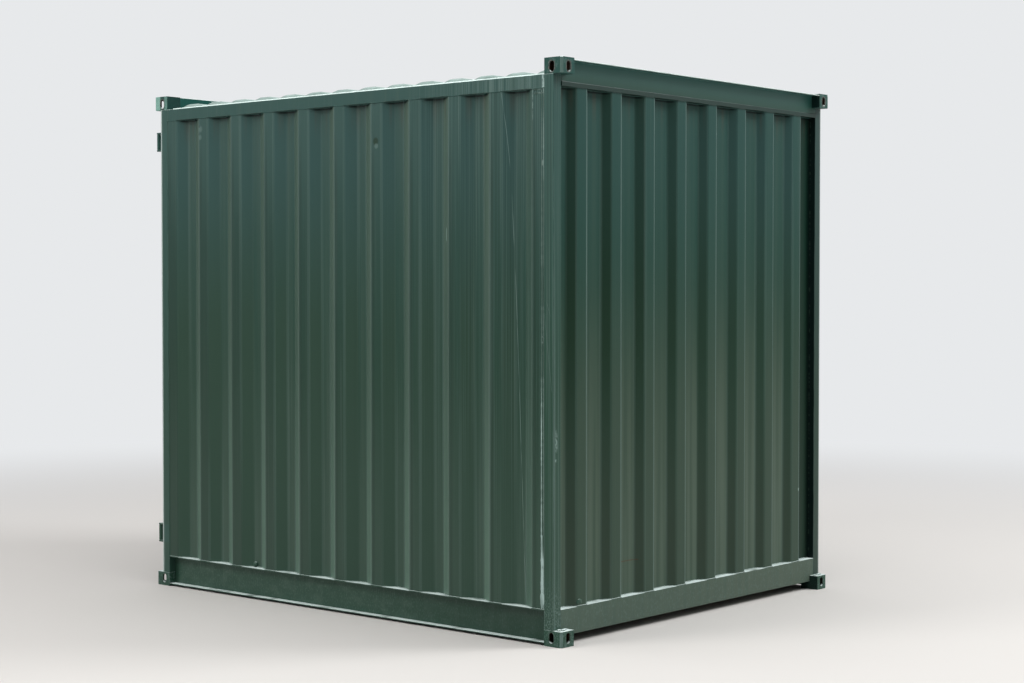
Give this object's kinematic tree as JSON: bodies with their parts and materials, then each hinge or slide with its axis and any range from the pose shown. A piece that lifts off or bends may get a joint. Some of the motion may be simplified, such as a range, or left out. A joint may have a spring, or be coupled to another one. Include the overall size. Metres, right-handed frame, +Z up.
{
  "type": "small steel shipping container",
  "caption": "Short corrugated steel container with corner fittings and two swing doors at one end.",
  "frame": {"origin": "on the ground, at the middle of the footprint over the corner fittings", "axes": "+Z up, +Y along the container towards the blind end wall, doors at -Y, +X to the right as seen when facing the doors"},
  "size_m": [2.082, 2.615, 2.438],
  "materials": {
    "frame_paint": "semi-gloss paint",
    "wall_paint": "semi-gloss paint",
    "roof_paint": "semi-gloss paint",
    "door_paint": "semi-gloss paint",
    "fitting_paint": "semi-gloss paint",
    "underframe_paint": "semi-gloss paint",
    "hardware_paint": "semi-gloss paint",
    "seal_rubber": "matt",
    "floor_board": "oiled"
  },
  "bodies": {
    "container": {"lower_fitting_door_end_left": "fitting_paint", "lower_fitting_door_end_right": "fitting_paint", "lower_fitting_blind_end_left": "fitting_paint", "lower_fitting_blind_end_right": "fitting_paint", "upper_fitting_door_end_left": "fitting_paint", "upper_fitting_door_end_right": "fitting_paint", "upper_fitting_blind_end_left": "fitting_paint", "upper_fitting_blind_end_right": "fitting_paint", "corner_post_door_end_left": "frame_paint", "corner_post_door_end_right": "frame_paint", "corner_post_blind_end_left": "frame_paint", "corner_post_blind_end_right": "frame_paint", "top_side_rail_left": "frame_paint", "top_side_rail_right": "frame_paint", "bottom_side_rail_left": "frame_paint", "bottom_side_rail_right": "frame_paint", "header_door_end": "frame_paint", "header_blind_end": "frame_paint", "sill_door_end": "frame_paint", "sill_blind_end": "frame_paint", "side_wall_left": "wall_paint", "side_wall_right": "wall_paint", "end_wall": "wall_paint", "roof": "roof_paint", "floor": "floor_board", "cross_members": "underframe_paint", "hinge_lugs_left": "hardware_paint", "hinge_lugs_right": "hardware_paint", "lock_keepers": "hardware_paint"},
    "door_left": {"door_frame_left": "door_paint", "door_panel_left": "door_paint", "door_gasket_left": "seal_rubber", "hinge_blades_left": "hardware_paint", "lock_rod_left": "hardware_paint", "lock_brackets_left": "hardware_paint", "lock_handle_left": "hardware_paint"},
    "door_right": {"door_frame_right": "door_paint", "door_panel_right": "door_paint", "door_gasket_right": "seal_rubber", "hinge_blades_right": "hardware_paint", "lock_rod_right": "hardware_paint", "lock_brackets_right": "hardware_paint", "lock_handle_right": "hardware_paint"}
  },
  "joints": [
    {"name": "door_left_swing", "type": "hinge", "parent": "container", "child": "door_left", "pos_m": [-1.03, -1.2905, 1.219], "axis": [0, 0, -1], "range_deg": [0, 270]},
    {"name": "door_right_swing", "type": "hinge", "parent": "container", "child": "door_right", "pos_m": [1.03, -1.2905, 1.219], "axis": [0, 0, 1], "range_deg": [0, 270]}
  ]
}
